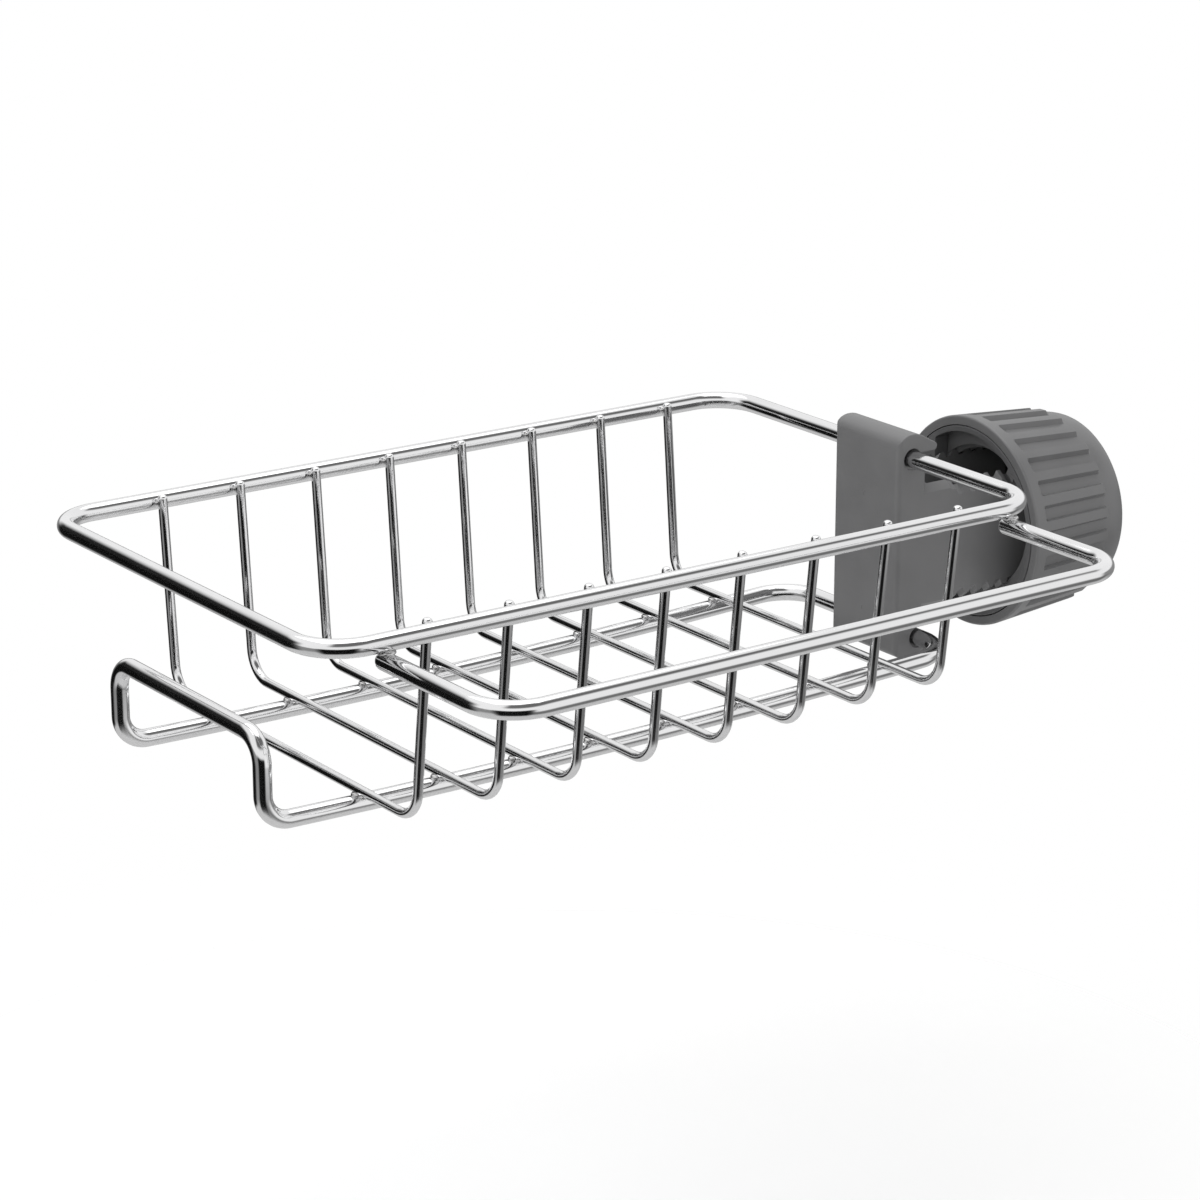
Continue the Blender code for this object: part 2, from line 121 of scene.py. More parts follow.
def bent(corners, radii, closed=False):
    """Points along a bent wire: straight runs between the corners, each corner rounded to its radius."""
    points = []
    for index, corner in enumerate(corners):
        if not closed and index in (0, len(corners) - 1):
            points.append(corner)
            continue
        before = (corners[index - 1] - corner).normalized()
        after = (corners[(index + 1) % len(corners)] - corner).normalized()
        half = before.angle(after) / 2
        turn = math.pi - 2 * half
        radius = radii[index]
        centre = corner + (before + after).normalized() * radius / math.sin(half)
        first = (corner + before * radius / math.tan(half) - centre) / radius
        last = (corner + after * radius / math.tan(half) - centre) / radius
        for step in range(BEND_STEPS + 1):
            share = step / BEND_STEPS
            swing = first * math.sin((1 - share) * turn) + last * math.sin(share * turn)
            points.append(centre + swing / math.sin(turn) * radius)
    return points


def wire_directions(route, closed):
    """The wire's direction at each point, and a side direction that doesn't twist along it."""
    count = len(route)
    ahead = [(route[(index + 1) % count] - route[index]).normalized() for index in range(count)]
    if not closed:
        ahead[-1] = ahead[-2]
    tangents = []
    for index in range(count):
        behind = ahead[index - 1] if closed or index else ahead[index]
        tangents.append((behind + ahead[index]).normalized())
    sides = [tangents[0].orthogonal().normalized()]
    for index in range(1, count):
        sides.append(tangents[index - 1].rotation_difference(tangents[index]) @ sides[-1])
    if closed:
        landed = tangents[-1].rotation_difference(tangents[0]) @ sides[-1]
        twist = math.atan2(tangents[0].dot(sides[0].cross(landed)), sides[0].dot(landed))
        for index in range(count):
            sides[index] = Matrix.Rotation(-twist * index / count, 3, tangents[index]) @ sides[index]
    return tangents, sides


def rounded_ends(rings, end_round, radius):
    """The wire's rings with a small rounding at both cut ends, as (centre, tangent, side, radius, along)."""
    opened = []
    for ring, sign in ((rings[0], 1), (rings[-1], -1)):
        centre, tangent, side, _, along = ring
        cap = []
        for step in range(END_ROUND_STEPS + 1):
            angle = math.pi / 2 * (1 - step / END_ROUND_STEPS)
            inward = end_round * (1 - math.sin(angle)) * sign
            narrower = radius - end_round * (1 - math.cos(angle))
            cap.append((centre + tangent * inward, tangent, side, narrower, along + inward))
        opened.append(cap)
    return opened[0] + rings[1:-1] + opened[1][::-1]


def drawn_wire(name, route, diameter, sides_round, closed=False, end_round=0.0):
    """A round wire along the route. Each vertex keeps where it lay on the straight wire, for the steel."""
    radius = diameter / 2
    tangents, sides = wire_directions(route, closed)
    rings = []
    along = 0.0
    for index, point in enumerate(route):
        if index:
            along += (point - route[index - 1]).length
        rings.append((point, tangents[index], sides[index], radius, along))
    middle = along / 2
    if not closed:
        rings = rounded_ends(rings, end_round, radius)
    shape = bmesh.new()
    straightened = shape.verts.layers.float_vector.new("straightened")
    rows = []
    for centre, tangent, side, ring_radius, place in rings:
        up = tangent.cross(side)
        row = []
        for column in range(sides_round):
            angle = 2 * math.pi * column / sides_round
            vert = shape.verts.new(centre + (side * math.cos(angle) + up * math.sin(angle)) * ring_radius)
            vert[straightened] = (radius * math.cos(angle), radius * math.sin(angle), abs(place - middle))
            row.append(vert)
        rows.append(row)
    pairs = list(zip(rows, rows[1:]))
    if closed:
        pairs.append((rows[-1], rows[0]))
    for row, following in pairs:
        for column in range(sides_round):
            after = (column + 1) % sides_round
            shape.faces.new((row[column], row[after], following[after], following[column]))
    if not closed:
        shape.faces.new(rows[0][::-1])
        shape.faces.new(rows[-1])
    thing = new_piece(name, shape)
    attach(thing, "basket")
    return thing


def new_piece(name, shape):
    """An object of the shape, smooth but for its sharp edges."""
    bmesh.ops.recalc_face_normals(shape, faces=shape.faces)
    mesh = bpy.data.meshes.new(name)
    shape.to_mesh(mesh)
    shape.free()
    mesh.shade_smooth()
    mesh.set_sharp_from_angle(angle=SHARP_ANGLE)
    thing = bpy.data.objects.new(name, mesh)
    bpy.context.collection.objects.link(thing)
    return thing


wire_steel = polished_steel()
half_width = RIM_WIDTH / 2
rim_corners = [
    RIM_END + Vector((0, -half_width, 0)),
    RIM_END + Vector((0, half_width, 0)),
    RIM_END + Vector((-RIM_LENGTH, half_width, 0)),
    RIM_END + Vector((-RIM_LENGTH, -half_width, 0)),
]
rim_route = bent(rim_corners, [RIM_CORNER_RADIUS] * 4, closed=True)
rim = drawn_wire("rim", rim_route, FRAME_WIRE, FRAME_WIRE_SIDES, closed=True)
rim.data.materials.append(wire_steel)
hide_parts("rim_wire")


# The base ring is the same wire, bent to a narrower rectangle that carries the floor. Its free end turns
# up into a raised bar, and its clamp end lies in the bracket's foot. Its runs bow a little downwards.

BASKET_DEPTH = 0.057
BASE_NEAR_SIDE = 0.034
BASE_FAR_SIDE = 0.045
BASE_PAST_RIM = 0.0038
BASE_FROM_FREE_END = 0.005
BASE_FREE_X = BASE_FROM_FREE_END - RIM_LENGTH
BASE_CORNER_RADIUS = 0.013
RAISED_END_HEIGHT = 0.0245
RAISED_END_RADIUS = 0.008
FLOOR_FALL = 0.0027
FLOOR_SAG = 0.002
BOW_STEP = 0.008


def floor_dip(x):
    """How far the floor lies below its clamp end, at x from the rim's clamp end."""
    share = (BASE_PAST_RIM - x) / (BASE_PAST_RIM - BASE_FREE_X)
    return FLOOR_FALL * share + FLOOR_SAG * 4 * share * (1 - share)


def with_steps_on_runs(points):
    """The same closed route with points on its straight runs, so that they can bow."""
    stepped = []
    for index, point in enumerate(points):
        after = points[(index + 1) % len(points)]
        pieces = max(1, round((after - point).length / BOW_STEP))
        stepped += [point.lerp(after, piece / pieces) for piece in range(pieces)]
    return stepped


raised_z = RAISED_END_HEIGHT - BASKET_DEPTH
base_corners = [
    Vector((BASE_PAST_RIM, -BASE_NEAR_SIDE, -BASKET_DEPTH)),
    Vector((BASE_PAST_RIM, BASE_FAR_SIDE, -BASKET_DEPTH)),
    Vector((BASE_FREE_X, BASE_FAR_SIDE, -BASKET_DEPTH)),
    Vector((BASE_FREE_X, BASE_FAR_SIDE, raised_z)),
    Vector((BASE_FREE_X, -BASE_NEAR_SIDE, raised_z)),
    Vector((BASE_FREE_X, -BASE_NEAR_SIDE, -BASKET_DEPTH)),
]
base_radii = [BASE_CORNER_RADIUS] * 2 + [RAISED_END_RADIUS] * 4
base_route = with_steps_on_runs(bent(base_corners, base_radii, closed=True))
base_route = [RIM_END + point - Vector((0, 0, floor_dip(point.x))) for point in base_route]
base = drawn_wire("base_ring", base_route, FRAME_WIRE, FRAME_WIRE_SIDES, closed=True)
base.data.materials.append(wire_steel)
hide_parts("base_wire")


# The towel rail is a U of the same wire for a cloth, its arm at the clamp's end 4 mm shorter. Its two cut
# ends are rounded over, lie under the rim's near side and are welded to it, 3 mm past the rim's middle.

RAIL_REACH_FREE_END = 0.0525
RAIL_REACH_CLAMP_END = 0.0485
RAIL_FROM_FREE_END = 0.0195
RAIL_FROM_CLAMP_END = 0.0107
RAIL_END_ROUND = 0.0018
RAIL_CORNER_RADIUS = 0.013
RAIL_PAST_RIM = 0.003
WELD_GAP = 0.0003

rail_level = -FRAME_WIRE - WELD_GAP
rail_xs = (RAIL_FROM_FREE_END - RIM_LENGTH, -RAIL_FROM_CLAMP_END)
rail_inner = RAIL_PAST_RIM - half_width
rail_corners = [
    RIM_END + Vector((rail_xs[0], rail_inner, rail_level)),
    RIM_END + Vector((rail_xs[0], -half_width - RAIL_REACH_FREE_END, rail_level)),
    RIM_END + Vector((rail_xs[1], -half_width - RAIL_REACH_CLAMP_END, rail_level)),
    RIM_END + Vector((rail_xs[1], rail_inner, rail_level)),
]
rail_route = bent(rail_corners, [RAIL_CORNER_RADIUS] * 4)
rail = drawn_wire("rail", rail_route, FRAME_WIRE, FRAME_WIRE_SIDES, end_round=RAIL_END_ROUND)
rail.data.materials.append(wire_steel)
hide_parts("towel_rail")


# Eight cross wires of 2.8 mm make both walls and the floor. Each is bent to a U from one length, with
# its rounded ends level with the top of the rim, which it is welded to from inside.

CROSS_WIRE = 0.0028
CROSS_COUNT = 8
CROSS_FROM_CLAMP_END = 0.0269
CROSS_FROM_FREE_END = 0.0347
CROSS_BEND_RADIUS = 0.009
CROSS_WIRE_SIDES = 20
CROSS_END_ROUND = 0.0011
NEAR_WALL_LEAN = 0.0065
FAR_WALL_LEAN = 0.0047

cross_beside_frame = FRAME_RADIUS + CROSS_WIRE / 2 + WELD_GAP
beside_rim = half_width - cross_beside_frame
cross_top = FRAME_RADIUS
first_x = CROSS_FROM_FREE_END - RIM_LENGTH
cross_step = (-CROSS_FROM_CLAMP_END - first_x) / (CROSS_COUNT - 1)
cross_xs = [first_x + cross_step * index for index in range(CROSS_COUNT)]
for index, x in enumerate(cross_xs):
    floor_z = cross_beside_frame - BASKET_DEPTH - floor_dip(x)
    spread = cross_top / -floor_z
    cross_corners = [
        RIM_END + Vector((x, -beside_rim - NEAR_WALL_LEAN * spread, cross_top)),
        RIM_END + Vector((x, NEAR_WALL_LEAN - beside_rim, floor_z)),
        RIM_END + Vector((x, beside_rim - FAR_WALL_LEAN, floor_z)),
        RIM_END + Vector((x, beside_rim + FAR_WALL_LEAN * spread, cross_top)),
    ]
    cross_route = bent(cross_corners, [CROSS_BEND_RADIUS] * 4)
    cross_name = f"cross_{index + 1}"
    cross = drawn_wire(cross_name, cross_route, CROSS_WIRE, CROSS_WIRE_SIDES, end_round=CROSS_END_ROUND)
    cross.data.materials.append(wire_steel)
    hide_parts(f"cross_wire_{index + 1}")


# The welds are small fused beads where two wires cross: each cross wire to the rim and the base ring on
# both sides, and the rail's two ends under the rim. They are resistance welds, buffed but not smooth.

WELD_UNEVENNESS = 0.00012
WELD_RIPPLES_PER_METRE = 900
RIM_WELD_SIZE = (0.0016, 0.0007, 0.0013)
BASE_WELD_SIZE = (0.0019, 0.0017, 0.0009)
RAIL_WELD_SIZE = (0.0026, 0.0026, 0.0010)
WELD_DARK = (0.52, 0.515, 0.51)
WELD_LIGHT = (0.72, 0.72, 0.725)


def weld_steel():
    """Fused steel, duller than the wire and slightly rippled."""
    steel = new_material("weld_steel")
    place = node(steel, "ShaderNodeTexCoord", {}).outputs["Object"]
    ripples = node(steel, "ShaderNodeTexNoise", {"Vector": place, "Scale": 1400, "Detail": 3})
    stains = node(steel, "ShaderNodeTexNoise", {"Vector": place, "Scale": 420, "Detail": 2})
    colour = shade_between(steel, stains.outputs["Fac"], WELD_DARK, WELD_LIGHT)
    roughness = level_between(steel, stains.outputs["Fac"], 0.18, 0.34)
    finish(steel, colour, roughness, ripples.outputs["Fac"], 0.00006, metallic=1)
    return steel


def weld_beads(name, places, size):
    """One uneven bead of that half-size at each place."""
    shape = bmesh.new()
    for place in places:
        stretch = Matrix.Translation(place) @ Matrix.Diagonal((*size, 1))
        ball = bmesh.ops.create_icosphere(shape, subdivisions=3, radius=1, matrix=stretch)
        for vert in ball["verts"]:
            outward = (vert.co - place).normalized()
            vert.co += outward * noise.noise(vert.co * WELD_RIPPLES_PER_METRE) * WELD_UNEVENNESS
    thing = new_piece(name, shape)
    thing.data.materials.append(fused_steel)
    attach(thing, "basket")


fused_steel = weld_steel()
weld_y = half_width - FRAME_RADIUS - WELD_GAP / 2
rim_weld_places = [RIM_END + Vector((x, side * weld_y, 0)) for x in cross_xs for side in (-1, 1)]
weld_beads("rim_welds", rim_weld_places, RIM_WELD_SIZE)

base_weld_places = []
for x in cross_xs:
    weld_z = FRAME_RADIUS + WELD_GAP / 2 - BASKET_DEPTH - floor_dip(x)
    base_weld_places += [RIM_END + Vector((x, y, weld_z)) for y in (-BASE_NEAR_SIDE, BASE_FAR_SIDE)]
weld_beads("base_welds", base_weld_places, BASE_WELD_SIZE)

rail_weld_places = [RIM_END + Vector((x, -half_width, rail_level / 2)) for x in rail_xs]
weld_beads("rail_welds", rail_weld_places, RAIL_WELD_SIZE)


# The bracket is one injection moulding in satin grey plastic: a plate with a snap hook over the rim's end
# wire, a foot round the base ring's end, and a threaded stud, split by a slot that the upright tube fits.

HOOK_GAP = 0.0006
TUBE_RADIUS = 0.0125
PLATE_FACE_X = -0.0282
PLATE_BACK_X = -0.0177
PLATE_EDGE_ROUND = 0.002
PLATE_EDGE_OPEN = 0.12
BRACKET_HALF_WIDTH = 0.0155
MOULD_EDGE = 0.0004
HOOK_WALL = 0.00458
HOOK_FRONT_ROUND = 0.0045
LIP_REACH = 0.0095
LIP_ROUND = 0.00135
LIP_ABOVE_WIRE = 0.0015
FOOT_WALL = 0.0023
FOOT_REACH = 0.003
FOOT_ROUND = 0.003
SLOT_FLOOR_X = -0.0150
SLOT_HALF_WIDTH = 0.0127
COLLAR_RADIUS = 0.0234
COLLAR_END_X = -0.0070
COLLAR_EDGE = 0.0004
STUD_IN_PLATE = 0.0018
STUD_RADIUS = 0.023
STUD_END_X = 0.0391
THREAD_START_X = -0.0130
PITCH = 0.005
STUD_CREST = 0.30
THREAD_FLANK = 0.20
THREAD_DEPTH = 0.0014
THREAD_COLUMNS = 72
ROUND_COLUMNS = 96
GATE_MARKS = ((0.0008, 0.0157), (0.0008, -0.0207))
GATE_MARK_SIZE = (0.00016, 0.00032, 0.0008)
SLAB_EDGE_ANGLE = math.radians(50)
SATIN_GREY_DARK = (0.143, 0.143, 0.145)
SATIN_GREY_LIGHT = (0.161, 0.161, 0.163)


def moulded_plastic(name, dark, light):
    """Satin moulded plastic: a fine even grain, with slow shade and gloss changes from the mould."""
    plastic = new_material(name)
    place = node(plastic, "ShaderNodeTexCoord", {}).outputs["Object"]
    grain = node(plastic, "ShaderNodeTexNoise", {"Vector": place, "Scale": 2600, "Detail": 2})
    cloud = node(plastic, "ShaderNodeTexNoise", {"Vector": place, "Scale": 70, "Detail": 4})
    colour = shade_between(plastic, cloud.outputs["Fac"], dark, light)
    roughness = level_between(plastic, cloud.outputs["Fac"], 0.34, 0.44)
    finish(plastic, colour, roughness, grain.outputs["Fac"], 0.00002)
    return plastic


def arc(centre, radius, first, last, steps):
    """Points of an arc about the centre, from the first to the last angle in radians."""
    points = []
    for step in range(steps + 1):
        angle = first + (last - first) * step / steps
        points.append(Vector((centre[0] + radius * math.cos(angle), centre[1] + radius * math.sin(angle))))
    return points


def side_slab(outline, y_low, y_high):
    """A solid from a closed outline of (x, z) points, from y_low to y_high."""
    shape = bmesh.new()
    near = [shape.verts.new((x, y_low, z)) for x, z in outline]
    far = [shape.verts.new((x, y_high, z)) for x, z in outline]
    return close_slab(shape, near, far)


def upright_slab(outline, z_low, z_high):
    """A solid from a closed outline of (x, y) points, from z_low to z_high."""
    shape = bmesh.new()
    near = [shape.verts.new((x, y, z_low)) for x, y in outline]
    far = [shape.verts.new((x, y, z_high)) for x, y in outline]
    return close_slab(shape, near, far)


def close_slab(shape, near, far):
    """Joins two like outlines by a band of faces and closes both."""
    count = len(near)
    for index in range(count):
        after = (index + 1) % count
        shape.faces.new((near[index], near[after], far[after], far[index]))
    shape.faces.new(near)
    shape.faces.new(far)
    bmesh.ops.recalc_face_normals(shape, faces=shape.faces)
    return shape


def ease_edges(shape, width):
    """Rounds the slab's edges that meet at more than 50 degrees."""
    sharp = [edge for edge in shape.edges if edge.calc_face_angle() > SLAB_EDGE_ANGLE]
    rounding = {"segments": 3, "profile": 0.5, "affect": "EDGES", "clamp_overlap": True}
    bmesh.ops.bevel(shape, geom=sharp, offset=width, **rounding)
    return shape


def block(low, high):
    """A plain block between two corners, for cutting with."""
    corners = [(low[0], low[1]), (high[0], low[1]), (high[0], high[1]), (low[0], high[1])]
    return upright_slab(corners, low[2], high[2])


def turned(profile, columns=ROUND_COLUMNS):
    """A solid of revolution about the X axis from (x, radius) points, closed by a face at each end."""
    shape = bmesh.new()
    rows = []
    for x, radius in profile:
        angles = [2 * math.pi * column / columns for column in range(columns)]
        rows.append([shape.verts.new((x, radius * math.cos(a), radius * math.sin(a))) for a in angles])
    for row, above in zip(rows, rows[1:]):
        for column in range(columns):
            after = (column + 1) % columns
            shape.faces.new((row[column], row[after], above[after], above[column]))
    shape.faces.new(rows[0][::-1])
    shape.faces.new(rows[-1])
    bmesh.ops.recalc_face_normals(shape, faces=shape.faces)
    return shape


def settle(thing):
    """Makes the thing's modifiers part of its mesh."""
    graph = bpy.context.evaluated_depsgraph_get()
    mesh = bpy.data.meshes.new_from_object(thing.evaluated_get(graph))
    thing.modifiers.clear()
    thing.data = mesh


def use_up(thing, operation, tool):
    """Cuts, joins or meets the thing with the tool, which is then gone."""
    step = thing.modifiers.new("use_up", "BOOLEAN")
    step.operation = operation
    step.object = tool
    settle(thing)
    bpy.data.objects.remove(tool)


def carve(thing, operation, shape):
    """Cuts, joins or meets the thing with the shape."""
    use_up(thing, operation, new_piece("carving_tool", shape))


def even_shading(thing):
    """Keeps flat faces flat beside their rounded edges."""
    thing.data.shade_smooth()
    thing.data.set_sharp_from_angle(angle=SHARP_ANGLE)
    weighting = thing.modifiers.new("even_shading", "WEIGHTED_NORMAL")
    weighting.keep_sharp = True
    settle(thing)


def thread_profile(crest_share):
    """(share of the pitch, depth share) points across one turn of the moulded thread, its corners eased."""
    half_crest = crest_share / 2
    flank = THREAD_FLANK
    root = 1 - half_crest - flank
    return [
        (-half_crest, 0.06),
        (-half_crest + 0.04, 0.0),
        (half_crest - 0.04, 0.0),
        (half_crest, 0.06),
        (half_crest + 0.05, 0.24),
        (half_crest + flank - 0.04, 0.88),
        (half_crest + flank + 0.03, 1.0),
        (root - 0.03, 1.0),
        (root + 0.04, 0.88),
        (root + flank - 0.05, 0.24),
    ]


def thread(major, crest_share, x_start, x_end):
    """A right-hand thread about the X axis that reaches past both ends."""
    start = THREAD_START_X + PITCH * math.floor((x_start - THREAD_START_X) / PITCH)
    turns = math.ceil((x_end - start) / PITCH) + 2
    profile = thread_profile(crest_share)
    shape = bmesh.new()
    rows = []
    for turn in range(turns):
        for share, depth in profile:
            radius = major - THREAD_DEPTH * depth
            row = []
            for column in range(THREAD_COLUMNS):
                x = start + PITCH * (turn + share + column / THREAD_COLUMNS)
                angle = 2 * math.pi * column / THREAD_COLUMNS
                row.append(shape.verts.new((x, radius * math.cos(angle), radius * math.sin(angle))))
            rows.append(row)
    for low, high in zip(rows, rows[1:]):
        for column in range(THREAD_COLUMNS - 1):
            shape.faces.new((low[column], low[column + 1], high[column + 1], high[column]))
    per_turn = len(profile)
    for index in range(len(rows) - per_turn - 1):
        low, high = rows[index], rows[index + 1]
        next_low, next_high = rows[index + per_turn], rows[index + per_turn + 1]
        shape.faces.new((low[-1], next_low[0], next_high[0], high[-1]))
    for x in (start + PITCH / 2, start + PITCH * (turns - 0.5)):
        tip = shape.verts.new((x, 0, 0))
        for edge in [edge for edge in shape.edges if edge.is_boundary]:
            first, second = edge.verts
            if abs(first.co.x - x) < 2 * PITCH:
                shape.faces.new((first, second, tip))
    bmesh.ops.recalc_face_normals(shape, faces=shape.faces)
    return shape


def bracket_outline():
    """The bracket's side view, as (x, z) points."""
    rim_x, rim_z = RIM_END.x, RIM_END.z
    base_x, base_z = RIM_END.x + BASE_PAST_RIM, RIM_END.z - BASKET_DEPTH
    channel = FRAME_RADIUS + HOOK_GAP
    bottom = base_z - channel - FOOT_WALL
    hook_radius = channel + HOOK_WALL
    toe_round = FOOT_WALL / 2
    lip_x = rim_x + LIP_REACH - LIP_ROUND
    lip_z = rim_z + LIP_ABOVE_WIRE + LIP_ROUND
    lip_distance = math.hypot(lip_x - rim_x, lip_z - rim_z)
    lip_angle = math.atan2(lip_z - rim_z, lip_x - rim_x)
    tangent = lip_angle + math.acos((hook_radius - LIP_ROUND) / lip_distance)
    front_x = PLATE_FACE_X + HOOK_FRONT_ROUND
    front_angle = math.acos((front_x - rim_x) / (hook_radius - HOOK_FRONT_ROUND))
    front_z = rim_z + (hook_radius - HOOK_FRONT_ROUND) * math.sin(front_angle)
    nib = math.asin(LIP_ABOVE_WIRE / channel)
    quarter = math.pi / 2
    outline = arc((PLATE_FACE_X + FOOT_ROUND, bottom + FOOT_ROUND), FOOT_ROUND, 2 * quarter, 3 * quarter, 14)
    toe = (base_x + FOOT_REACH - toe_round, bottom + toe_round)
    outline += arc(toe, toe_round, 3 * quarter, 5 * quarter, 14)
    outline += arc((base_x, base_z), channel, 3 * quarter, quarter, 28)
    outline += [(PLATE_BACK_X, base_z + channel), (PLATE_BACK_X, rim_z - channel)]
    outline += arc((rim_x, rim_z), channel, 3 * quarter, nib, 36)
    outline += arc((lip_x, lip_z), LIP_ROUND, 3 * quarter, 4 * quarter + tangent, 16)
    outline += arc((rim_x, rim_z), hook_radius, tangent, front_angle, 30)
    outline += arc((front_x, front_z), HOOK_FRONT_ROUND, front_angle, 2 * quarter, 20)[1:]
    return outline


def front_corner(side):
    """What is taken off one upright front edge of the plate to round it."""
    half = BRACKET_HALF_WIDTH
    edge = PLATE_EDGE_ROUND
    outline = [(PLATE_FACE_X - edge, half - edge)]
    outline += arc((PLATE_FACE_X + edge, half - edge), edge, math.pi, math.pi / 2 + PLATE_EDGE_OPEN, 12)
    outline += [(PLATE_FACE_X + edge * 1.2, half + edge / 50), (PLATE_FACE_X + edge * 1.2, half + edge)]
    outline += [(PLATE_FACE_X - edge, half + edge)]
    return upright_slab([(x, side * y) for x, y in outline], -BASKET_DEPTH, BASKET_DEPTH)


cheek_y = BRACKET_HALF_WIDTH
bracket = new_piece("bracket", ease_edges(side_slab(bracket_outline(), -cheek_y, cheek_y), MOULD_EDGE))
carve(bracket, "DIFFERENCE", front_corner(-1))
carve(bracket, "DIFFERENCE", front_corner(1))
for y, z in GATE_MARKS:
    mark = bmesh.new()
    mark_place = Matrix.Translation((PLATE_FACE_X, y, z)) @ Matrix.Diagonal((*GATE_MARK_SIZE, 1))
    bmesh.ops.create_icosphere(mark, subdivisions=3, radius=1, matrix=mark_place)
    carve(bracket, "UNION", mark)
stud_start_x = PLATE_BACK_X - STUD_IN_PLATE
collar_profile = [
    (stud_start_x, COLLAR_RADIUS),
    (COLLAR_END_X - COLLAR_EDGE, COLLAR_RADIUS),
    (COLLAR_END_X, COLLAR_RADIUS - COLLAR_EDGE),
]
stud = new_piece("stud", thread(STUD_RADIUS, STUD_CREST, THREAD_START_X, STUD_END_X))
carve(stud, "UNION", turned(collar_profile))
wide = 2 * COLLAR_RADIUS
carve(stud, "INTERSECT", block((stud_start_x, -cheek_y, -wide), (STUD_END_X, cheek_y, wide)))
carve(stud, "DIFFERENCE", block((SLOT_FLOOR_X, -SLOT_HALF_WIDTH, -wide), (wide, SLOT_HALF_WIDTH, wide)))
use_up(bracket, "UNION", stud)
even_shading(bracket)
bracket.data.materials.clear()
bracket.data.materials.append(moulded_plastic("grey_bracket_plastic", SATIN_GREY_DARK, SATIN_GREY_LIGHT))
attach(bracket, "clamp")
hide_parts("clamp_bracket")


# The seat pad is a black rubber block at the bottom of the slot, hollowed to the tube, with fine
# level ridges in the hollow so that the clamp doesn't slip. It is pushed in and held by the cheeks.

PAD_BACK_X = -0.0147
PAD_WRAP = 0.0075
PAD_HEIGHT = 0.030
PAD_HALF_WIDTH = 0.0124
PAD_EDGE = 0.0004
PAD_RIDGES = 11
PAD_RIDGE_DEPTH = 0.00035
PAD_RIDGE_SPREAD = 1.05
RUBBER_DARK = (0.009, 0.009, 0.010)
RUBBER_LIGHT = (0.017, 0.017, 0.018)


def black_rubber():
    """Matt black rubber with a fine dry grain."""
    rubber = new_material("black_rubber")
    place = node(rubber, "ShaderNodeTexCoord", {}).outputs["Object"]
    grain = node(rubber, "ShaderNodeTexNoise", {"Vector": place, "Scale": 2200, "Detail": 3})
    cloud = node(rubber, "ShaderNodeTexNoise", {"Vector": place, "Scale": 160, "Detail": 3})
    colour = shade_between(rubber, cloud.outputs["Fac"], RUBBER_DARK, RUBBER_LIGHT)
    roughness = level_between(rubber, cloud.outputs["Fac"], 0.62, 0.78)
    finish(rubber, colour, roughness, grain.outputs["Fac"], 0.00005)
    rubber.node_tree.nodes["Principled BSDF"].inputs["Specular IOR Level"].default_value = 0.15
    return rubber


rubber = black_rubber()
pad_lip_x = PAD_WRAP - TUBE_RADIUS
pad_spread = math.acos(-pad_lip_x / TUBE_RADIUS)
pad_outline = [(PAD_BACK_X, -PAD_HALF_WIDTH), (PAD_BACK_X, PAD_HALF_WIDTH), (pad_lip_x, PAD_HALF_WIDTH)]
pad_outline += arc((0, 0), TUBE_RADIUS, math.pi - pad_spread, math.pi + pad_spread, 32)
pad_outline.append((pad_lip_x, -PAD_HALF_WIDTH))
pad = new_piece("pad", ease_edges(upright_slab(pad_outline, -PAD_HEIGHT / 2, PAD_HEIGHT / 2), PAD_EDGE))
ridge_pitch = PAD_HEIGHT / (PAD_RIDGES + 1)
for ridge in range(PAD_RIDGES):
    z = ridge_pitch * (ridge + 1) - PAD_HEIGHT / 2
    groove_span = (math.pi - PAD_RIDGE_SPREAD, math.pi + PAD_RIDGE_SPREAD)
    groove = arc((0, 0), TUBE_RADIUS + PAD_RIDGE_DEPTH, *groove_span, 24) + [(0, 0)]
    carve(pad, "DIFFERENCE", upright_slab(groove, z - ridge_pitch / 5, z + ridge_pitch / 5))
even_shading(pad)
pad.data.materials.append(rubber)
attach(pad, "clamp")
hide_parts("seat_pad")


# The press ring is a moulded ring in the knob's mouth. It is the knob's grey plastic, painted darker
# as painted shade of the recess it sits in. A flat in its bore slides on the stud's far cheek, so it moves
# along without turning and presses the tube against the pad.

RING_FRONT_X = 0.0125
RING_THICKNESS = 0.005
RING_BORE = 0.0283
RING_RADIUS = 0.0300
RING_EDGE = 0.0004
RING_FLAT = 0.0158
# Painted shade: the ring's greys are the knob's plastic made darker for its shaded recess in the mouth.
RING_PAINTED_SHADE_DARK = (0.100, 0.100, 0.102)
RING_PAINTED_SHADE_LIGHT = (0.116, 0.116, 0.118)

ring_back_x = RING_FRONT_X + RING_THICKNESS
eased = RING_EDGE * 0.3
ring_profile = [
    (RING_FRONT_X, RING_RADIUS - RING_EDGE),
    (RING_FRONT_X + eased, RING_RADIUS - eased),
    (RING_FRONT_X + RING_EDGE, RING_RADIUS),
    (ring_back_x - RING_EDGE, RING_RADIUS),
    (ring_back_x - eased, RING_RADIUS - eased),
    (ring_back_x, RING_RADIUS - RING_EDGE),
]
ring = new_piece("ring", turned(ring_profile))
flat_angle = math.acos(RING_FLAT / RING_BORE)
bore = arc((0, 0), RING_BORE, flat_angle, 2 * math.pi - flat_angle, 90)
bore_shape = bmesh.new()
bore_near = [bore_shape.verts.new((RING_FRONT_X - RING_THICKNESS, y, z)) for y, z in bore]
bore_far = [bore_shape.verts.new((ring_back_x + RING_THICKNESS, y, z)) for y, z in bore]
carve(ring, "DIFFERENCE", close_slab(bore_shape, bore_near, bore_far))
even_shading(ring)
# The ring's material carries painted shade, darker than the same plastic on the knob.
ring.data.materials.append(moulded_plastic("ring_plastic_painted_shade", RING_PAINTED_SHADE_DARK, RING_PAINTED_SHADE_LIGHT))
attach(ring, "press_ring")
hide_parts("press_ring")


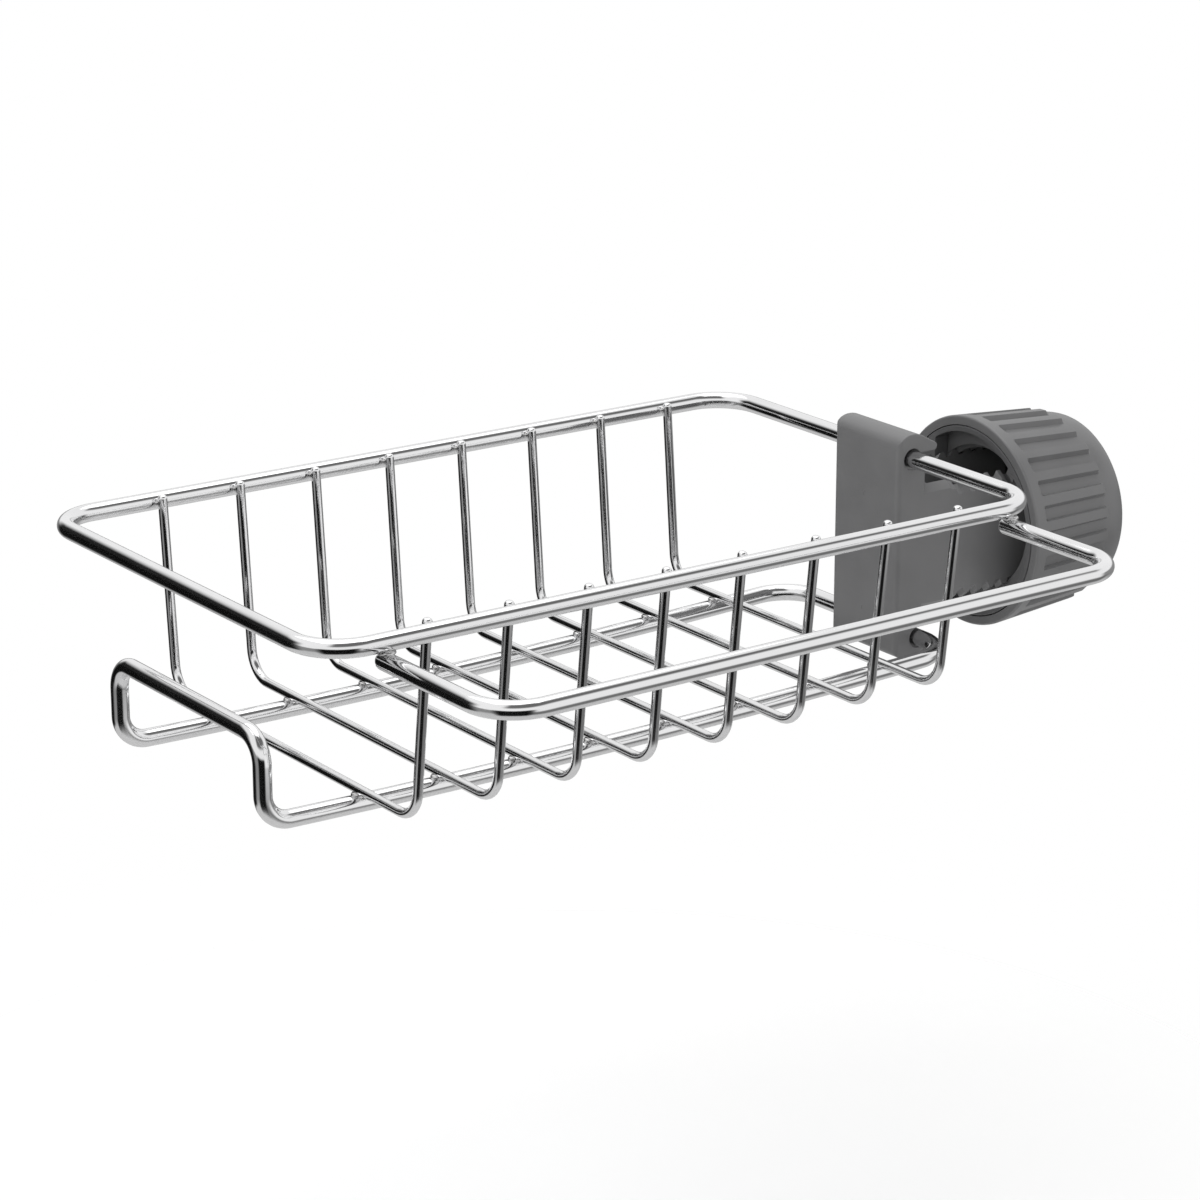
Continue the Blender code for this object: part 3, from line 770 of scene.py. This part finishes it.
# The knob is a grey cap nut moulded in the bracket's plastic, narrowing towards its closed back. Ribs
# round its side give grip between a plain band at each end, and a thread inside runs on the stud.

KNOB_FRONT_X = 0.0128
KNOB_LENGTH = 0.040
KNOB_RADIUS = 0.0332
KNOB_TAPER = 0.0025
KNOB_END_WALL = 0.0034
KNOB_CHAMFER = 0.0008
KNOB_BACK_EASE = 0.0022
KNOB_BACK_BAND = 0.008
MOUTH_RADIUS = 0.0303
MOUTH_DEPTH = 0.0050
RIB_COUNT = 26
RIB_CREST = 0.40
RIB_FLANK = 0.07
RIB_START = 0.004
RIB_HEIGHT = 0.0015
RIB_END_SLOPE = 0.0012
RIB_TURN = math.radians(2.25)
COLUMNS_PER_RIB = 16
CHAMFER_STEPS = 4
SLOPE_STEPS = 8
SIDE_STEPS = 7
BAND_STEPS = 14
THREAD_GAP = 0.0004
BORE_CREST = 0.42
BORE_IN_MOUTH = 0.0006


def smooth_step(value, low, high):
    """0 below low, 1 above high, and a smooth rise between."""
    share = min(1.0, max(0.0, (value - low) / (high - low)))
    return share * share * (3 - 2 * share)


def on_rib(share):
    """1 on a rib's crest and 0 in the groove beside it, across one rib's pitch."""
    share %= 1.0
    rise = smooth_step(share, 1 - RIB_FLANK, 1.0)
    fall = 1 - smooth_step(share, RIB_CREST, RIB_CREST + RIB_FLANK)
    return max(rise, fall)


def crest_radius(x):
    """The radius on a rib's crest, which narrows from the mouth to the back band."""
    return KNOB_RADIUS - KNOB_TAPER * (x - KNOB_FRONT_X) / (KNOB_LENGTH - KNOB_BACK_BAND)


def knob_stations():
    """(x, radius of the plain form, how much is front band, how much a rib may stand) down the side."""
    back_x = KNOB_FRONT_X + KNOB_LENGTH
    band_x = back_x - KNOB_BACK_BAND
    start_x = KNOB_FRONT_X + RIB_START
    stations = []
    for step in range(CHAMFER_STEPS + 1):
        angle = math.pi / 2 * step / CHAMFER_STEPS
        x = KNOB_FRONT_X + KNOB_CHAMFER * (1 - math.cos(angle))
        stations.append((x, crest_radius(x) - KNOB_CHAMFER * (1 - math.sin(angle)), 1.0, 1.0))
    for step in range(SLOPE_STEPS + 1):
        x = start_x + RIB_END_SLOPE * step / SLOPE_STEPS
        stations.append((x, crest_radius(x), 1 - smooth_step(x, start_x, start_x + RIB_END_SLOPE), 1.0))
    for step in range(1, SIDE_STEPS):
        x = start_x + RIB_END_SLOPE + (band_x - start_x - 2 * RIB_END_SLOPE) * step / SIDE_STEPS
        stations.append((x, crest_radius(x), 0.0, 1.0))
    for step in range(SLOPE_STEPS + 1):
        x = band_x - RIB_END_SLOPE * (1 - step / SLOPE_STEPS)
        stations.append((x, crest_radius(x), 0.0, 1 - smooth_step(x, band_x - RIB_END_SLOPE, band_x)))
    for step in range(1, BAND_STEPS + 1):
        angle = math.pi / 2 * step / BAND_STEPS
        x = band_x + KNOB_BACK_BAND * math.sin(angle)
        ease = KNOB_BACK_EASE * (1 - math.cos(angle))
        stations.append((x, crest_radius(band_x) - ease, 0.0, 0.0))
    return stations


def ribbed_form():
    """The knob's outside as a closed solid."""
    shape = bmesh.new()
    columns = RIB_COUNT * COLUMNS_PER_RIB
    rows = []
    for x, radius, band, rib_stands in knob_stations():
        row = []
        for column in range(columns):
            share = column / COLUMNS_PER_RIB
            angle = RIB_TURN + 2 * math.pi * column / columns
            sunk = (1 - band) * (1 - on_rib(share) * rib_stands)
            here = radius - RIB_HEIGHT * sunk
            row.append(shape.verts.new((x, here * math.cos(angle), here * math.sin(angle))))
        rows.append(row)
    for low, high in zip(rows, rows[1:]):
        for column in range(columns):
            after = (column + 1) % columns
            shape.faces.new((low[column], low[after], high[after], high[column]))
    shape.faces.new(rows[0][::-1])
    shape.faces.new(rows[-1])
    bmesh.ops.recalc_face_normals(shape, faces=shape.faces)
    return shape


mouth_floor_x = KNOB_FRONT_X + MOUTH_DEPTH
bore_start_x = mouth_floor_x - BORE_IN_MOUTH
bore_end_x = KNOB_FRONT_X + KNOB_LENGTH - KNOB_END_WALL
knob = new_piece("knob", ribbed_form())
bore_thread = thread(STUD_RADIUS + THREAD_GAP, BORE_CREST, bore_start_x - 2 * PITCH, bore_end_x + PITCH)
thread_tool = new_piece("thread_tool", bore_thread)
carve(thread_tool, "INTERSECT", block((bore_start_x, -wide, -wide), (bore_end_x, wide, wide)))
use_up(knob, "DIFFERENCE", thread_tool)
carve(knob, "DIFFERENCE", turned([(KNOB_FRONT_X - MOUTH_DEPTH, MOUTH_RADIUS), (mouth_floor_x, MOUTH_RADIUS)]))
even_shading(knob)
knob.data.materials.clear()
knob.data.materials.append(moulded_plastic("grey_knob_plastic", SATIN_GREY_DARK, SATIN_GREY_LIGHT))
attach(knob, "knob")
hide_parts("clamp_knob")


# The studio: a camera at the photograph's angle, a plain pale floor below the hanging shelf, soft
# lamps above and beside it, and a white surround with the dark flags that give polished wire its lines.

CAMERA_PLACE = (-0.751589, -0.882311, 0.344519)
CAMERA_AZIMUTH = math.radians(35.2959)
CAMERA_ELEVATION = math.radians(17.6869)
CAMERA_ROLL = math.radians(0.0249)
CAMERA_LENS = 116.89
SENSOR_WIDTH = 36
FLOOR_PLACE = (-0.145, -0.01, -0.19)
FLOOR_RADIUS = 0.36
FLOOR_FADE = (0.15, 0.95)
FLOOR_SHADE = 0.62
FLOOR_SHADE_TO_CAMERA = 0.94
SKY_LIGHT = 0.84

camera_data = bpy.data.cameras.new("camera")
camera_data.lens = CAMERA_LENS
camera_data.sensor_width = SENSOR_WIDTH
camera = bpy.data.objects.new("camera", camera_data)
bpy.context.collection.objects.link(camera)
turn = Matrix.Rotation(-CAMERA_AZIMUTH, 4, "Z") @ Matrix.Rotation(math.pi / 2 - CAMERA_ELEVATION, 4, "X")
camera.matrix_world = Matrix.Translation(CAMERA_PLACE) @ turn @ Matrix.Rotation(CAMERA_ROLL, 4, "Z")
bpy.context.scene.camera = camera


def pale_floor():
    """A matt pale floor that fades into the white surround towards its rim, and is whiter to the camera."""
    pale = new_material("pale_floor")
    pale.surface_render_method = "BLENDED"
    nodes = pale.node_tree.nodes
    links = pale.node_tree.links
    shader = nodes["Principled BSDF"]
    shader.inputs["Roughness"].default_value = 0.9
    shader.inputs["Specular IOR Level"].default_value = 0.0
    ray = node(pale, "ShaderNodeLightPath", {})
    shades = {"To Min": FLOOR_SHADE, "To Max": FLOOR_SHADE_TO_CAMERA}
    whiter = node(pale, "ShaderNodeMapRange", {"Value": ray.outputs["Is Camera Ray"], **shades})
    links.new(whiter.outputs["Result"], shader.inputs["Base Color"])
    place = node(pale, "ShaderNodeTexCoord", {})
    away = node(pale, "ShaderNodeVectorMath", {0: place.outputs["Object"]})
    away.operation = "LENGTH"
    fade_from, fade_to = (share * FLOOR_RADIUS for share in FLOOR_FADE)
    fade_span = {"Value": away.outputs["Value"], "From Min": fade_from, "From Max": fade_to}
    fade = node(pale, "ShaderNodeMapRange", fade_span)
    fade.interpolation_type = "SMOOTHSTEP"
    clear = node(pale, "ShaderNodeBsdfTransparent", {})
    faded = node(pale, "ShaderNodeMixShader", {"Fac": fade.outputs["Result"]})
    links.new(shader.outputs["BSDF"], faded.inputs[1])
    links.new(clear.outputs["BSDF"], faded.inputs[2])
    links.new(faded.outputs["Shader"], nodes["Material Output"].inputs["Surface"])
    return pale


disc = bmesh.new()
bmesh.ops.create_circle(disc, cap_ends=True, segments=96, radius=FLOOR_RADIUS)
studio_floor = new_piece("studio_floor", disc)
studio_floor.location = FLOOR_PLACE
studio_floor.data.materials.append(pale_floor())


def soft_lamp(name, place, aim, size, power, in_reflections):
    """A square soft box at the place, turned to the aim."""
    lamp = bpy.data.lights.new(name, "AREA")
    lamp.shape = "SQUARE"
    lamp.size = size
    lamp.energy = power
    holder = bpy.data.objects.new(name, lamp)
    holder.location = place
    holder.rotation_euler = (Vector(aim) - Vector(place)).to_track_quat("-Z", "Y").to_euler()
    holder.visible_glossy = in_reflections
    bpy.context.collection.objects.link(holder)


soft_lamp("top_lamp", (0.00, 0.25, 1.1), (-0.1, 0, 0), size=1.1, power=5.0, in_reflections=True)
soft_lamp("side_lamp", (-1.2, -0.2, 0.35), (-0.05, 0, 0), size=0.8, power=2.4, in_reflections=False)


def studio_surround(world):
    """White to the camera. Reflections see the white too, with dark flags beside the camera and at the far
    left, grey ones overhead and low on the near side, a grey belt at eye level that is open towards the
    near right, and a slightly grey underside."""
    nodes = world.node_tree.nodes
    links = world.node_tree.links
    nodes.clear()
    direction = node(world, "ShaderNodeTexCoord", {}).outputs["Generated"]
    parts = node(world, "ShaderNodeSeparateXYZ", {"Vector": direction})
    level = node(world, "ShaderNodeCombineXYZ", {"X": parts.outputs["X"], "Y": parts.outputs["Y"]})
    heading = node(world, "ShaderNodeVectorMath", {0: level.outputs["Vector"]})
    heading.operation = "NORMALIZE"
    height = parts.outputs["Z"]

    def rise(value, low, high):
        """0 below low, 1 above high, and a smooth rise between."""
        span = node(world, "ShaderNodeMapRange", {"Value": value, "From Min": low, "From Max": high})
        span.interpolation_type = "SMOOTHSTEP"
        return span.outputs["Result"]

    def merge(first, second, operation="MULTIPLY"):
        """Two levels merged into one, multiplied unless the operation says otherwise."""
        made = node(world, "ShaderNodeMath", {0: first, 1: second})
        made.operation = operation
        return made.outputs["Value"]

    def flag(towards, edge, full, lows, highs, depth):
        """What is left of the light behind a dark flag: 1 outside it, 1 - depth inside. The flag starts where
        the heading's cosine with towards is at edge and is full at full, and lies from lows to highs."""
        near = node(world, "ShaderNodeVectorMath", {0: heading.outputs["Vector"], 1: (*towards, 0)})
        near.operation = "DOT_PRODUCT"
        across = rise(near.outputs["Value"], edge, full)
        upright = merge(rise(height, *lows), merge(1.0, rise(height, *highs), "SUBTRACT"))
        return merge(1.0, merge(merge(across, upright), depth), "SUBTRACT")

    belt = flag((-0.550, 0.830), -0.97, -0.80, (-0.66, -0.30), (0.00, 0.16), 0.72)
    beside_camera = flag((-0.572, -0.820), 0.70, 0.90, (-0.88, -0.70), (0.02, 0.22), 0.985)
    far_left = flag((-0.572, 0.820), 0.72, 0.96, (-0.62, -0.50), (0.36, 0.66), 0.985)
    high_near = flag((0.200, -0.980), 0.25, 0.60, (0.48, 0.70), (0.95, 0.99), 0.84)
    low_near = flag((0.500, -0.866), 0.50, 0.85, (-0.82, -0.66), (-0.45, -0.20), 0.70)
    low_side = merge(merge(rise(height, -0.55, -0.20), 0.40), 0.60, "ADD")
    dark_flags = merge(merge(beside_camera, far_left), belt)
    seen = merge(merge(dark_flags, low_side), merge(high_near, low_near))

    ray = node(world, "ShaderNodeLightPath", {})
    white = merge(ray.outputs["Is Camera Ray"], ray.outputs["Is Transmission Ray"], "MAXIMUM")
    reflected = merge(ray.outputs["Is Glossy Ray"], seen)
    shown = merge(white, reflected, "MAXIMUM")
    unseen = merge(1.0, merge(white, ray.outputs["Is Glossy Ray"], "MAXIMUM"), "SUBTRACT")
    strength = merge(shown, merge(unseen, SKY_LIGHT), "ADD")
    background = node(world, "ShaderNodeBackground", {"Color": (1, 1, 1, 1), "Strength": strength})
    output = node(world, "ShaderNodeOutputWorld", {})
    links.new(background.outputs["Background"], output.inputs["Surface"])


surround = bpy.data.worlds.new("surround")
surround.use_nodes = True
bpy.context.scene.world = surround
studio_surround(surround)

bpy.context.scene.view_settings.view_transform = "Standard"
